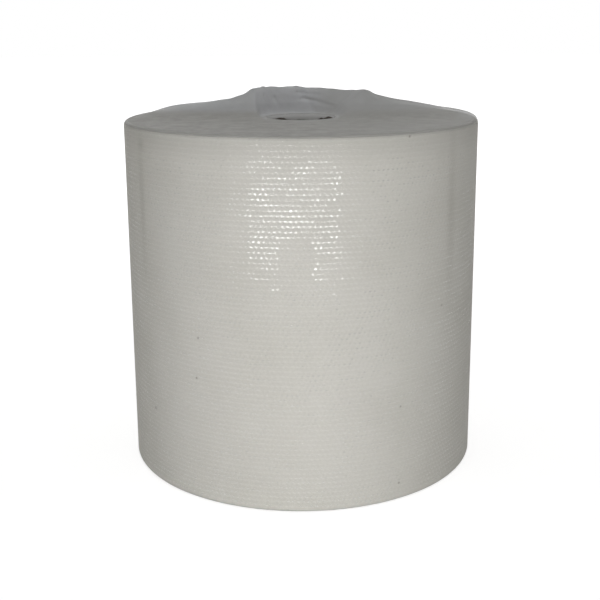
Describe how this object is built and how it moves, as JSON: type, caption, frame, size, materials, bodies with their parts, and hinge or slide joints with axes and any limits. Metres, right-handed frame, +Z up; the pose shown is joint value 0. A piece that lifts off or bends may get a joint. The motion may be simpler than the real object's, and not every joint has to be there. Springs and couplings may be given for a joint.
{
  "type": "manicure paper roll",
  "caption": "Wound roll of embossed off-white paper on a cardboard core, standing on its end in clear shrink film gathered into a crown over the core's mouth.",
  "frame": {"origin": "on the roll's axis in the plane that the wrapped roll stands on", "axes": "+Z up along the roll's axis; -Y is the side that the picture shows"},
  "size_m": [0.2, 0.2, 0.2117],
  "materials": {
    "paper": "matt embossed tissue",
    "core": "matt wound grey-brown board",
    "film": "clear glossy shrink film"
  },
  "bodies": {
    "root": {"paper_roll": "paper", "core_tube": "core", "film_wrap": "film"}
  },
  "joints": []
}
